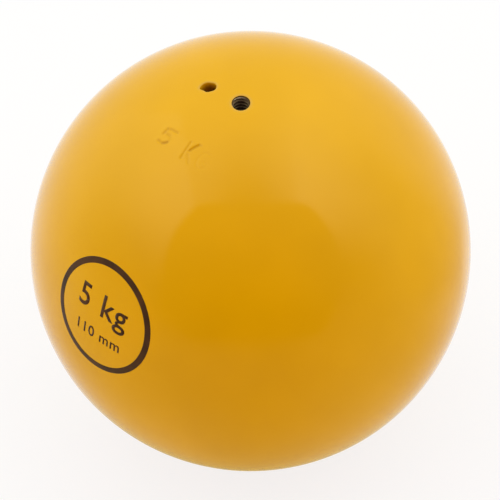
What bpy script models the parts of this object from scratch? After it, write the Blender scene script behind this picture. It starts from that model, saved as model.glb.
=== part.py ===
"""A 5 kg shot: a cast-iron ball that is trimmed to its exact weight and then enamelled.

The ball is drilled and tapped at its top. Lead slugs lie in the bottom of that bore, and a grub
screw presses a swivelling pad down on them. A plain blind hole beside the bore takes weight out
of the ball. The origin is the ball's centre, +Z runs out of the tapped bore, and the marked side
of the ball faces -Y.
"""

import math

import bmesh
import bpy
from mathutils import Matrix

MM = 0.001
INCH = 25.4 * MM

# The ball
BALL_DIAMETER = 110 * MM
BALL_COLUMNS = 80
BALL_ROWS = 40

# The thread of the bore and the screw, 3/16 in across with 24 turns to the inch
THREAD_DIAMETER = 3 / 16 * INCH
THREAD_PITCH = INCH / 24
THREAD_FLANK_ANGLE = math.radians(27.5)
THREAD_ROOT_WIDTH = 0.26 * MM
THREAD_CLEARANCE = 0.10 * MM
THREAD_STEPS = 16
THREAD_START_AZIMUTH = math.radians(139)

# Both holes, made with one drill
DRILL_DIAMETER = 3.8 * MM
DRILL_POINT_ANGLE = math.radians(118)
DRILL_SIDES = 32
DRILL_RUN_OUT = 6 * MM
BORE_DEPTH = 33.5 * MM
TAPPED_DEPTH = 15.5 * MM
TRIM_HOLE_DEPTH = 12 * MM
TRIM_HOLE_TILT = math.radians(10.4)
TRIM_HOLE_AZIMUTH = math.radians(138.2)

# The ballast in the bore
SLUG_DIAMETER = 3.3 * MM
SLUG_LENGTH = 6 * MM
SLUG_COUNT = 3
FIT_GAP = 0.3 * MM

# The pad that swivels in the nose of the screw
PAD_DIAMETER = 3.2 * MM
PAD_THICKNESS = 1 * MM
PAD_STEM_DIAMETER = 1.2 * MM
PAD_STEM_LENGTH = 1.1 * MM

# The grub screw
SCREW_LENGTH = 6 * MM
SCREW_END_CHAMFER = 0.55 * MM
SOCKET_ACROSS_FLATS = 3 / 32 * INCH
SOCKET_DEPTH = 2.6 * MM
NOSE_RECESS_DIAMETER = 1.8 * MM
NOSE_RECESS_DEPTH = 1.2 * MM

SMALL_CHAMFER = 0.25 * MM
TURNED_SIDES = 32
WELD_DISTANCE = 0.001 * MM
SHARP_ANGLE = math.radians(35)

# Heights on the bore's axis, from the bottom of the bore to the top of the screw
BALL_RADIUS = BALL_DIAMETER / 2
BORE_BOTTOM = BALL_RADIUS - BORE_DEPTH
SLUG_PITCH = SLUG_LENGTH + FIT_GAP
PAD_BOTTOM = BORE_BOTTOM + FIT_GAP + SLUG_COUNT * SLUG_PITCH
SCREW_BOTTOM = PAD_BOTTOM + PAD_THICKNESS + FIT_GAP
THREAD_BOTTOM = BALL_RADIUS - TAPPED_DEPTH


def clear_scene():
    for old in list(bpy.data.objects):
        bpy.data.objects.remove(old, do_unlink=True)


def new_collection(name):
    collection = bpy.data.collections.new(name)
    bpy.context.scene.collection.children.link(collection)
    return collection


def new_material(name, colour, roughness, metallic):
    material = bpy.data.materials.new(name)
    material.use_nodes = True
    material.diffuse_color = (*colour, 1)
    shader = material.node_tree.nodes["Principled BSDF"]
    shader.inputs["Base Color"].default_value = (*colour, 1)
    shader.inputs["Roughness"].default_value = roughness
    shader.inputs["Metallic"].default_value = metallic
    return material


def add_object(name, mesh, collection, material=None):
    added = bpy.data.objects.new(name, mesh)
    collection.objects.link(added)
    if material:
        mesh.materials.append(material)
        mesh.shade_smooth()
        mesh.set_sharp_from_angle(angle=SHARP_ANGLE)
    return added


def make_cutter(shape):
    shape.hide_render = True
    shape.display_type = "WIRE"
    return shape


def outline_mesh(name, points, is_loop=False):
    """A mesh of edges through points (radius, height) in the XZ plane."""
    edges = [(i, i + 1) for i in range(len(points) - 1)]
    if is_loop:
        edges.append((len(points) - 1, 0))
    mesh = bpy.data.meshes.new(name)
    mesh.from_pydata([(radius, 0, height) for radius, height in points], edges, [])
    return mesh


def applied_mesh(shape):
    """The mesh that the object's modifiers give, with the object itself removed."""
    graph = bpy.context.evaluated_depsgraph_get()
    mesh = bpy.data.meshes.new_from_object(shape.evaluated_get(graph))
    mesh.name = shape.name
    bpy.data.objects.remove(shape, do_unlink=True)
    return mesh


def turned_mesh(name, outline, collection, sides=TURNED_SIDES):
    """A solid turned about Z from an outline that runs from the top of the axis to its bottom."""
    shape = add_object(name, outline_mesh(name, outline), collection)
    screw = shape.modifiers.new("Turn", "SCREW")
    screw.axis = "Z"
    screw.angle = math.tau
    screw.steps = screw.render_steps = sides
    screw.use_merge_vertices = True
    screw.merge_threshold = WELD_DISTANCE
    screw.use_smooth_shade = False
    mesh = applied_mesh(shape)
    solid = bmesh.new()
    solid.from_mesh(mesh)
    bmesh.ops.remove_doubles(solid, verts=solid.verts, dist=WELD_DISTANCE)
    bmesh.ops.recalc_face_normals(solid, faces=solid.faces)
    solid.to_mesh(mesh)
    solid.free()
    return mesh


def helix_mesh(name, section, turns, collection):
    """A closed section that climbs one pitch a turn about Z, with its two ends filled."""
    shape = add_object(name, outline_mesh(name, section, is_loop=True), collection)
    screw = shape.modifiers.new("Climb", "SCREW")
    screw.axis = "Z"
    screw.angle = math.tau
    screw.screw_offset = THREAD_PITCH
    screw.iterations = turns
    screw.steps = screw.render_steps = THREAD_STEPS
    screw.use_smooth_shade = False
    mesh = applied_mesh(shape)
    solid = bmesh.new()
    solid.from_mesh(mesh)
    bmesh.ops.holes_fill(solid, edges=solid.edges)
    bmesh.ops.rotate(solid, verts=solid.verts, matrix=Matrix.Rotation(THREAD_START_AZIMUTH, 3, "Z"))
    bmesh.ops.recalc_face_normals(solid, faces=solid.faces)
    solid.to_mesh(mesh)
    solid.free()
    return mesh


def add_boolean(shape, operation, other):
    boolean = shape.modifiers.new(other.name, "BOOLEAN")
    boolean.operation = operation
    boolean.solver = "EXACT"
    boolean.object = other


def thread_section(inner_radius, outer_radius, base_height, clearance=0.0):
    """The thread's trapezium between two radii, with its flanks moved in by the clearance."""
    flank_inset = clearance / math.cos(THREAD_FLANK_ANGLE)

    def half_width(radius):
        slope = (THREAD_DIAMETER / 2 - radius) * math.tan(THREAD_FLANK_ANGLE)
        return THREAD_ROOT_WIDTH / 2 + slope - flank_inset

    return [
        (inner_radius, base_height + half_width(inner_radius)),
        (outer_radius, base_height + half_width(outer_radius)),
        (outer_radius, base_height - half_width(outer_radius)),
        (inner_radius, base_height - half_width(inner_radius)),
    ]


def drill_mesh(name, depth, collection):
    """A drilled hole's shape, from above the ball's surface to the point of the drill."""
    radius = DRILL_DIAMETER / 2
    shoulder = BALL_RADIUS - depth
    point = shoulder - radius / math.tan(DRILL_POINT_ANGLE / 2)
    top = BALL_RADIUS + DRILL_RUN_OUT
    outline = [(0, top), (radius, top), (radius, shoulder), (0, point)]
    return turned_mesh(name, outline, collection, DRILL_SIDES)


def make_thread_cutter(cutters):
    """The groove of the tapped bore. It starts inside the drilled hole and runs out past the mouth."""
    inner_radius = DRILL_DIAMETER / 2 - THREAD_CLEARANCE
    turns = math.ceil(TAPPED_DEPTH / THREAD_PITCH) + 1
    section = thread_section(inner_radius, THREAD_DIAMETER / 2, THREAD_BOTTOM)
    mesh = helix_mesh("bore_thread", section, turns, cutters)
    return make_cutter(add_object("bore_thread", mesh, cutters))


def make_ball_body(parts, cutters, material):
    solid = bmesh.new()
    bmesh.ops.create_uvsphere(
        solid, u_segments=BALL_COLUMNS, v_segments=BALL_ROWS, radius=BALL_RADIUS
    )
    mesh = bpy.data.meshes.new("ball_body")
    solid.to_mesh(mesh)
    solid.free()
    ball = add_object("ball_body", mesh, parts, material)

    bore = add_object("bore_drill", drill_mesh("bore_drill", BORE_DEPTH, cutters), cutters)
    trim_mesh = drill_mesh("trim_drill", TRIM_HOLE_DEPTH, cutters)
    trim = add_object("trim_drill", trim_mesh, cutters)
    turn_to_azimuth = Matrix.Rotation(TRIM_HOLE_AZIMUTH, 4, "Z")
    trim.matrix_world = turn_to_azimuth @ Matrix.Rotation(TRIM_HOLE_TILT, 4, "Y")
    for cutter in (make_cutter(bore), make_cutter(trim), make_thread_cutter(cutters)):
        add_boolean(ball, "DIFFERENCE", cutter)
    return ball


def make_ballast_slugs(parts, cutters, material):
    """Lengths of lead rod, chamfered at both ends, one above the other in the bore."""
    radius = SLUG_DIAMETER / 2
    outline = [
        (0, SLUG_LENGTH),
        (radius - SMALL_CHAMFER, SLUG_LENGTH),
        (radius, SLUG_LENGTH - SMALL_CHAMFER),
        (radius, SMALL_CHAMFER),
        (radius - SMALL_CHAMFER, 0),
        (0, 0),
    ]
    mesh = turned_mesh("ballast_slug", outline, cutters)
    mesh.materials.append(material)
    for number in range(SLUG_COUNT):
        slug = add_object(f"ballast_slug_{number + 1}", mesh, parts)
        slug.location.z = BORE_BOTTOM + FIT_GAP + number * SLUG_PITCH
    mesh.shade_smooth()
    mesh.set_sharp_from_angle(angle=SHARP_ANGLE)


def make_swivel_pad(parts, cutters, material):
    """A flat head that lies on the ballast, and a stem that turns in the nose of the screw."""
    radius = PAD_DIAMETER / 2
    stem_radius = PAD_STEM_DIAMETER / 2
    stem_top = PAD_THICKNESS + PAD_STEM_LENGTH
    outline = [
        (0, stem_top),
        (stem_radius, stem_top),
        (stem_radius, PAD_THICKNESS),
        (radius, PAD_THICKNESS),
        (radius, SMALL_CHAMFER),
        (radius - SMALL_CHAMFER, 0),
        (0, 0),
    ]
    mesh = turned_mesh("swivel_pad", outline, cutters)
    pad = add_object("swivel_pad", mesh, parts, material)
    pad.location.z = PAD_BOTTOM
    return pad


def make_screw_ridge(cutters):
    """The screw's thread, a whole number of turns above the bottom of the bore's thread."""
    inner_radius = DRILL_DIAMETER / 2 - 3 * THREAD_CLEARANCE
    outer_radius = THREAD_DIAMETER / 2 - THREAD_CLEARANCE
    turns_below = math.floor((SCREW_BOTTOM - THREAD_BOTTOM) / THREAD_PITCH) - 1
    base_height = THREAD_BOTTOM + turns_below * THREAD_PITCH - SCREW_BOTTOM
    turns = math.ceil(SCREW_LENGTH / THREAD_PITCH) + 3
    section = thread_section(inner_radius, outer_radius, base_height, THREAD_CLEARANCE)
    mesh = helix_mesh("screw_ridge", section, turns, cutters)
    return make_cutter(add_object("screw_ridge", mesh, cutters))


def make_screw_ends(cutters):
    """The cylinder with chamfered ends to which the screw's thread is cut."""
    radius = THREAD_DIAMETER / 2
    outline = [
        (0, SCREW_LENGTH),
        (radius - SCREW_END_CHAMFER, SCREW_LENGTH),
        (radius, SCREW_LENGTH - SCREW_END_CHAMFER),
        (radius, SCREW_END_CHAMFER),
        (radius - SCREW_END_CHAMFER, 0),
        (0, 0),
    ]
    mesh = turned_mesh("screw_ends", outline, cutters)
    return make_cutter(add_object("screw_ends", mesh, cutters))


def make_socket(cutters):
    """The hexagonal socket for the key, open at the top of the screw."""
    top = SCREW_LENGTH + SMALL_CHAMFER
    bottom = SCREW_LENGTH - SOCKET_DEPTH
    corner_radius = SOCKET_ACROSS_FLATS / 2 / math.cos(math.pi / 6)
    solid = bmesh.new()
    bmesh.ops.create_cone(
        solid,
        cap_ends=True,
        segments=6,
        radius1=corner_radius,
        radius2=corner_radius,
        depth=top - bottom,
        matrix=Matrix.Translation((0, 0, (top + bottom) / 2)),
    )
    mesh = bpy.data.meshes.new("screw_socket")
    solid.to_mesh(mesh)
    solid.free()
    return make_cutter(add_object("screw_socket", mesh, cutters))


def make_nose_recess(cutters):
    """The round recess in the screw's nose, in which the pad's stem turns."""
    radius = NOSE_RECESS_DIAMETER / 2
    bottom = -SMALL_CHAMFER
    outline = [
        (0, NOSE_RECESS_DEPTH + SMALL_CHAMFER),
        (radius, NOSE_RECESS_DEPTH),
        (radius, bottom),
        (0, bottom),
    ]
    mesh = turned_mesh("nose_recess", outline, cutters)
    return make_cutter(add_object("nose_recess", mesh, cutters))


def make_grub_screw(parts, cutters, material):
    core_radius = DRILL_DIAMETER / 2 - THREAD_CLEARANCE
    outline = [
        (0, SCREW_LENGTH + SMALL_CHAMFER),
        (core_radius, SCREW_LENGTH + SMALL_CHAMFER),
        (core_radius, -SMALL_CHAMFER),
        (0, -SMALL_CHAMFER),
    ]
    mesh = turned_mesh("grub_screw", outline, cutters)
    screw = add_object("grub_screw", mesh, parts, material)
    screw.location.z = SCREW_BOTTOM
    steps = (
        ("UNION", make_screw_ridge(cutters)),
        ("INTERSECT", make_screw_ends(cutters)),
        ("DIFFERENCE", make_socket(cutters)),
        ("DIFFERENCE", make_nose_recess(cutters)),
    )
    for operation, cutter in steps:
        cutter.location.z = SCREW_BOTTOM
        add_boolean(screw, operation, cutter)
    return screw


def main():
    clear_scene()
    parts = new_collection("shot_put")
    cutters = new_collection("cutters")
    enamel = new_material("yellow_enamel", (0.73, 0.35, 0.006), 0.2, 0.0)
    lead = new_material("lead", (0.19, 0.20, 0.22), 0.6, 1.0)
    nylon = new_material("nylon", (0.72, 0.68, 0.58), 0.5, 0.0)
    blackened_steel = new_material("blackened_steel", (0.03, 0.03, 0.035), 0.4, 1.0)

    make_ball_body(parts, cutters, enamel)
    make_ballast_slugs(parts, cutters, lead)
    make_swivel_pad(parts, cutters, nylon)
    make_grub_screw(parts, cutters, blackened_steel)


main()
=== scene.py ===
"""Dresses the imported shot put: an enamelled cast-iron ball, its tapped bore and its printed mark.

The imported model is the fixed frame. The ball's skin, the grub screw and the printed mark are made
here as finer surfaces on the same places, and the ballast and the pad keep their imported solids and
get their finishes. Lengths are millimetres until a mesh is made, the origin is the ball's centre
and +Z runs out of the tapped bore.
"""

import logging
import math
from collections.abc import Callable
from dataclasses import dataclass
from enum import Enum, IntEnum

import bmesh
import bpy
import numpy as np
from mathutils import Matrix, Vector


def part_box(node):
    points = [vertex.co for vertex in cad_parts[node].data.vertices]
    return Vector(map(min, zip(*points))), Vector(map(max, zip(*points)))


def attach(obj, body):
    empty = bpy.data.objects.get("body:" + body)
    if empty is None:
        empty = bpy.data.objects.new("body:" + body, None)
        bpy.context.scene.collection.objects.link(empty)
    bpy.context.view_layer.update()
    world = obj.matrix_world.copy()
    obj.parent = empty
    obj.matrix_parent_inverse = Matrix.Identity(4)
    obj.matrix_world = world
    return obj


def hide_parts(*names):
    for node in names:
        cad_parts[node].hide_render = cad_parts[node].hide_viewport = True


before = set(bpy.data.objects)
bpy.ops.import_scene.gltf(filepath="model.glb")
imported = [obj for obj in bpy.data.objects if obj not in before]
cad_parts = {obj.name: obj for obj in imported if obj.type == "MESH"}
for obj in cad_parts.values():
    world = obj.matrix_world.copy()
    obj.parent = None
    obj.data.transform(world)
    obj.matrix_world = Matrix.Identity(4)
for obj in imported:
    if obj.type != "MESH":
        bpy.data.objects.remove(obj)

Array = np.ndarray
Pair = tuple[float, float]
Triple = tuple[float, float, float]
Colour = tuple[float, float, float, float]
Tree = bpy.types.NodeTree
Socket = bpy.types.NodeSocket

MM = 0.001
INCH = 25.4
TINY = 1e-12
PHOTO_PIXELS = 500
SHARP_ANGLE = math.radians(40)
DRILL_POINT_ANGLE = math.radians(118)

# The Mix node's sockets go by number, because their names repeat from one type to the next.
NUMBER_A, NUMBER_B, NUMBER_OUT = 2, 3, 0
VECTOR_A, VECTOR_B, VECTOR_OUT = 4, 5, 1
COLOUR_A, COLOUR_B, COLOUR_OUT = 6, 7, 2

log = logging.getLogger("shot_put")


class Body(Enum):
    """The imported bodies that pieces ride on."""

    BALL = "ball"
    SCREW = "screw"


class Slot(Enum):
    """The record's material slots."""

    ENAMEL = "yellow_enamel"
    STEEL = "blackened_steel"


class Coat(IntEnum):
    """What covers a face of the ball's skin, by its place among the skin's materials."""

    ENAMEL = 0
    BARE_IRON = 1


class Layout(Enum):
    """How a fine relief lies: in clouds, or in rings about Z, as a lathe's feed leaves them."""

    CLOUDS = "TexNoise"
    RINGS = "TexWave"


def smooth_step(value: Array, start: float, stop: float) -> Array:
    """Rises from 0 at start to 1 at stop, which may lie below it, as 3t^2 - 2t^3."""
    t = np.clip((value - start) / (stop - start), 0, 1)
    return t * t * (3 - 2 * t)


def bell(distance: Array, width: float) -> Array:
    """The bell curve exp(-(distance / width)^2)."""
    return np.exp(-(distance / width) ** 2)


def on_sphere(radius: Array | float, tilt: Array, azimuth: Array) -> Array:
    """Points radius x (sin tilt cos azimuth, sin tilt sin azimuth, cos tilt).

    Args:
        radius: Distance from the ball's centre.
        tilt: Angle from +Z, in radians.
        azimuth: Angle about +Z from +X, in radians.

    Returns:
        The points, with their coordinates on a last axis.
    """
    across = np.sin(tilt)
    unit = np.stack(np.broadcast_arrays(
        across * np.cos(azimuth), across * np.sin(azimuth), np.cos(tilt)), -1)
    return np.asarray(radius)[..., None] * unit


def turned(radius: Array | float, azimuth: Array, height: Array | float) -> Array:
    """Points (radius cos azimuth, radius sin azimuth, height) of a shape turned about Z."""
    return np.stack(np.broadcast_arrays(
        radius * np.cos(azimuth), radius * np.sin(azimuth), height), -1)


def graded(start: float, stop: float, spacing: Callable[[Array], Array], samples: int = 6000) -> Array:
    """Places whose gaps follow a spacing: equal steps of the integral of 1 / spacing.

    Args:
        start: The first place.
        stop: The last place.
        spacing: Gives the gap that is wanted at each place.
        samples: How finely the integral is summed.

    Returns:
        The places, from start to stop.
    """
    fine = np.linspace(start, stop, samples)
    density = 1 / spacing(fine)
    steps = (density[1:] + density[:-1]) / 2 * np.diff(fine)
    travelled = np.concatenate([[0], np.cumsum(steps)])
    wanted = np.linspace(0, travelled[-1], math.ceil(travelled[-1]) + 1)
    return np.interp(wanted, travelled, fine)


def arc(centre: Pair, radii: Pair, start: float, stop: float, step: float = 15) -> Array:
    """Points of an oval stroke from one bearing to another, about a step apart, in degrees."""
    bearing = np.radians(np.linspace(start, stop, round(abs(stop - start) / step) + 1))
    return np.array(centre) + np.stack([radii[0] * np.cos(bearing), radii[1] * np.sin(bearing)], -1)


def put_in_scene(name: str, data: bpy.types.ID) -> bpy.types.Object:
    """Makes an object of its data, at the origin.

    Args:
        name: The object's name.
        data: Its mesh, curve or camera.

    Returns:
        The object, in the scene's collection.
    """
    made = bpy.data.objects.new(name, data)
    bpy.context.scene.collection.objects.link(made)
    return made


def points_of(mesh: bpy.types.Mesh) -> Array:
    """Reads a mesh's points.

    Args:
        mesh: The mesh.

    Returns:
        Its points, one a row, in the mesh's own unit.
    """
    flat = np.zeros(len(mesh.vertices) * 3, np.float32)
    mesh.vertices.foreach_get("co", flat)
    return flat.reshape(-1, 3).astype(float)


@dataclass(frozen=True)
class Place:
    """A place on the ball, with flat axes there that wrap onto the sphere.

    The first axis points east, the way azimuth grows, and is then turned counter-clockwise as seen
    from outside. The second points north, towards the bore, and the third outwards.
    """

    tilt: float
    azimuth: float
    turn: float = 0.0

    @property
    def axes(self) -> Array:
        """The three unit axes at the place.

        Returns:
            Right, up and out, one a row.
        """
        out = on_sphere(1.0, np.array(self.tilt), np.array(self.azimuth))
        east = np.array([-math.sin(self.azimuth), math.cos(self.azimuth), 0])
        north = np.cross(out, east)
        right = east * math.cos(self.turn) + north * math.sin(self.turn)
        return np.stack([right, np.cross(out, right), out])

    def wrap(self, flat: Array, radius: Array | float, ball_radius: float) -> Array:
        """Lays flat points on a sphere, each as far along its great circle as it was from the place.

        Args:
            flat: Points right and up of the place, in millimetres on the ball's surface.
            radius: Distance of the laid points from the ball's centre.
            ball_radius: Radius at which the flat distances are true.

        Returns:
            The points in space.
        """
        right, up, out = self.axes
        distance = np.maximum(np.hypot(flat[..., 0], flat[..., 1]), TINY)
        angle = distance / ball_radius
        along = (flat[..., :1] * right + flat[..., 1:2] * up) / distance[..., None]
        unit = np.cos(angle)[..., None] * out + np.sin(angle)[..., None] * along
        return np.asarray(radius)[..., None] * unit

    def flatten(self, points: Array, ball_radius: float) -> Array:
        """Undoes wrap: each point goes back along its great circle to the flat axes.

        Args:
            points: Points in space.
            ball_radius: Radius at which the flat distances are true.

        Returns:
            Points right and up of the place, in millimetres.
        """
        right, up, out = self.axes
        unit = points / np.linalg.norm(points, axis=-1, keepdims=True)
        x, y = unit @ right, unit @ up
        sideways = np.maximum(np.hypot(x, y), TINY)
        distance = ball_radius * np.arctan2(sideways, unit @ out)
        return np.stack([x, y], -1) * (distance / sideways)[..., None]

    def around(self, radius: Array, bearing: Array, height: Array) -> Array:
        """Points (radius cos bearing, radius sin bearing, height) in the axes of the place."""
        return turned(radius, bearing, height) @ self.axes


class Skin:
    """A closed mesh that is put together from arrays of points and faces.

    Seen from outside with the first ring on top, the points of each ring run to the right. The
    faces between two rings then point outwards.
    """

    def __init__(self) -> None:
        """Starts with no points and no faces."""
        self.points: list[Array] = []
        self.count = 0
        self.faces: list[tuple[Array, int]] = []

    def add(self, points: Array) -> Array:
        """Takes points in a grid of any shape.

        Args:
            points: The points, with their coordinates on the last axis.

        Returns:
            Their numbers, in the same shape.
        """
        flat = points.reshape(-1, 3)
        numbers = np.arange(self.count, self.count + len(flat)).reshape(points.shape[:-1])
        self.points.append(flat)
        self.count += len(flat)
        return numbers

    def join(self, rings: Array, coat: int = 0, left_out: Array | None = None) -> None:
        """Puts quads between neighbouring closed rings.

        Args:
            rings: Point numbers, one ring a row.
            coat: Index of the faces' material.
            left_out: True for each cell, by row and column, that gets no face.
        """
        onward = np.roll(rings, -1, axis=1)
        quads = np.stack([rings[:-1], rings[1:], onward[1:], onward[:-1]], -1)
        kept = quads.reshape(-1, 4) if left_out is None else quads[~left_out]
        self.faces.append((kept, coat))

    def zip_rings(self, first: Array, first_azimuth: Array, second: Array, second_azimuth: Array,
                  coat: int = 0) -> None:
        """Joins two rings of different counts by triangles, in the order of their azimuths.

        Going once round, each point of either ring closes a triangle with the last points of both.

        Args:
            first: Point numbers of the ring that comes first.
            first_azimuth: Their azimuths, in radians.
            second: Point numbers of the other ring.
            second_azimuth: Their azimuths, in radians.
            coat: Index of the faces' material.
        """
        first_azimuth, second_azimuth = first_azimuth % math.tau, second_azimuth % math.tau
        first = first[np.argsort(first_azimuth)]
        second = second[np.argsort(second_azimuth)]
        merged = np.concatenate([np.sort(first_azimuth), np.sort(second_azimuth)])
        is_first = np.argsort(merged, kind="stable") < len(first)
        passed_first = np.cumsum(is_first) - is_first
        passed_second = np.cumsum(~is_first) - ~is_first
        ahead = np.where(is_first, first[passed_first % len(first)],
                         second[passed_second % len(second)])
        corners = (first[passed_first - 1], second[passed_second - 1], ahead)
        self.faces.append((np.stack(corners, -1), coat))

    def close(self, ring: Array, tip: Array | Triple, coat: int = 0, is_start: bool = False) -> None:
        """Closes a ring with a fan to one point.

        Args:
            ring: Point numbers of the ring.
            tip: The point that the fan meets in.
            coat: Index of the faces' material.
            is_start: True where the tip lies before the first ring, and not after the last.
        """
        tip_number = np.full(len(ring), self.add(np.asarray(tip, float)[None])[0])
        onward = np.roll(ring, -1)
        corners = (tip_number, ring, onward) if is_start else (ring, tip_number, onward)
        self.faces.append((np.stack(corners, -1), coat))

    def make(self, name: str, materials: list[bpy.types.Material]) -> bpy.types.Object:
        """Turns the arrays into an object, and leaves out the points that no face uses.

        Args:
            name: Name of the object and its mesh.
            materials: The materials that the faces' indices name.

        Returns:
            The object, in the scene's collection.
        """
        used, corners = np.unique(np.concatenate([faces.ravel() for faces, _ in self.faces]),
                                  return_inverse=True)
        sizes = np.concatenate([np.full(len(faces), faces.shape[1]) for faces, _ in self.faces])
        coats = np.concatenate([np.full(len(faces), coat) for faces, coat in self.faces])
        points = np.concatenate(self.points)[used] * MM
        mesh = bpy.data.meshes.new(name)
        mesh.vertices.add(len(points))
        mesh.vertices.foreach_set("co", points.astype(np.float32).ravel())
        mesh.loops.add(len(corners))
        mesh.loops.foreach_set("vertex_index", corners.astype(np.int32))
        mesh.polygons.add(len(sizes))
        for key, values in (("loop_start", np.cumsum(sizes) - sizes), ("loop_total", sizes),
                            ("material_index", coats)):
            mesh.polygons.foreach_set(key, values.astype(np.int32))
        mesh.update(calc_edges=True)
        mesh.validate()
        for material in materials:
            mesh.materials.append(material)
        mesh.shade_smooth()
        mesh.set_sharp_from_angle(angle=SHARP_ANGLE)
        return put_in_scene(name, mesh)


def colour(srgb: str) -> Colour:
    """Turns an sRGB colour to a linear one.

    Args:
        srgb: Its hex value, such as "#E1AB10".

    Returns:
        Red, green, blue and full alpha.
    """
    parts = [int(srgb[i:i + 2], 16) / 255 for i in (1, 3, 5)]
    linear = [p / 12.92 if p <= 0.04045 else ((p + 0.055) / 1.055) ** 2.4 for p in parts]
    return (*linear, 1.0)


def add_node(tree: Tree, kind: str, inputs: dict | None = None, **settings: object) -> bpy.types.Node:
    """Adds a node.

    Args:
        tree: The tree that it goes into.
        kind: Its type, without the leading "ShaderNode".
        inputs: By socket name or number, an output to link or a value to set.
        **settings: Its properties.

    Returns:
        The node.
    """
    node = tree.nodes.new(f"ShaderNode{kind}")
    for name, value in settings.items():
        setattr(node, name, value)
    for key, value in (inputs or {}).items():
        if isinstance(value, Socket):
            tree.links.new(value, node.inputs[key])
        else:
            node.inputs[key].default_value = value
    return node


@dataclass(frozen=True)
class Pattern:
    """A pattern too fine for the mesh: how wide its parts are and how deep, in millimetres."""

    size: float
    depth: float = 0.0
    detail: float = 2.0
    layout: Layout = Layout.CLOUDS

    @property
    def scale(self) -> float:
        """The texture's scale, for parts about size wide: 1 / size, or 2 / tau of that for rings."""
        return (2 / math.tau if self.layout is Layout.RINGS else 1) / (self.size * MM)


@dataclass(frozen=True)
class Finish:
    """What all finishes share: cloudy patches of two shades, and fine reliefs one over the other.

    The patches' noise lies mostly within a range, and the shades run over that. Where there is a
    second roughness, the roughness runs from the one to the other with the shades.
    """

    name: str
    shades: tuple[str, str]
    patches: Pattern
    roughness: tuple[float, ...]
    reliefs: tuple[Pattern, ...]
    sockets: tuple[tuple[str, float | Triple], ...] = ()
    patch_range: Pair = (0.3, 0.7)

    def skin(self, tree: Tree, share: Socket) -> Socket:
        """The surface's colour, with a share of the second shade from 0 to 1 over the first."""
        first, second = (colour(shade) for shade in self.shades)
        return add_node(tree, "Mix", {0: share, COLOUR_A: first, COLOUR_B: second},
                        data_type="RGBA").outputs[COLOUR_OUT]

    def by_reach(self, tree: Tree, reach: Pair, near: Socket | Colour, far: Socket | Colour,
                 spot: Triple = (0, 0, 0), axes: Triple = (1, 1, 1)) -> Socket:
        """Goes from one colour to another with distance from a spot, or from an axis through it.

        Args:
            tree: The material's tree.
            reach: Distances in millimetres up to which and from which the colours are pure.
            near: The colour, or the socket that gives it, at the shorter distance.
            far: The colour or the socket at the longer one.
            spot: The spot, in millimetres.
            axes: 1 for each axis that counts, so (1, 1, 0) measures from the line along Z.

        Returns:
            The colour.
        """
        way = add_node(tree, "TexCoord").outputs["Object"]
        for operation, value in (("SUBTRACT", [part * MM for part in spot]), ("MULTIPLY", axes)):
            way = add_node(tree, "VectorMath", {0: way, 1: value}, operation=operation).outputs[0]
        away = add_node(tree, "VectorMath", {0: way}, operation="LENGTH").outputs["Value"]
        share = add_node(tree, "MapRange", {
            "Value": away, "From Min": reach[0] * MM, "From Max": reach[1] * MM},
            interpolation_type="SMOOTHSTEP").outputs["Result"]
        return add_node(tree, "Mix", {0: share, COLOUR_A: near, COLOUR_B: far},
                        data_type="RGBA").outputs[COLOUR_OUT]

    def material(self) -> bpy.types.Material:
        """Builds the material.

        Returns:
            The material, of this finish's name.
        """
        material = bpy.data.materials.new(self.name)
        material.use_nodes = True
        tree = material.node_tree
        shader = tree.nodes["Principled BSDF"]
        for name, value in (("Roughness", self.roughness[0]), *self.sockets):
            shader.inputs[name].default_value = value

        place = add_node(tree, "TexCoord").outputs["Object"]
        heights = []
        for pattern in (self.patches, *self.reliefs):
            settings = {"bands_direction": "Z"} if pattern.layout is Layout.RINGS else {}
            heights.append(add_node(tree, pattern.layout.value, {
                "Vector": place, "Scale": pattern.scale, "Detail": pattern.detail},
                **settings).outputs["Fac"])
        start, stop = self.patch_range
        share = add_node(tree, "MapRange", {
            "Value": heights[0], "From Min": start, "From Max": stop}).outputs["Result"]
        tree.links.new(self.skin(tree, share), shader.inputs["Base Color"])
        if len(self.roughness) > 1:
            first, second = self.roughness
            rough = add_node(tree, "Mix", {0: share, NUMBER_A: first, NUMBER_B: second})
            tree.links.new(rough.outputs[NUMBER_OUT], shader.inputs["Roughness"])
        under = {}
        for relief, height in zip(self.reliefs, heights[1:]):
            bump = add_node(tree, "Bump", {
                "Height": height, "Distance": relief.depth * MM, "Strength": 1.0, **under})
            under = {"Normal": bump.outputs["Normal"]}
        tree.links.new(under["Normal"], shader.inputs["Normal"])
        return material


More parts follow.
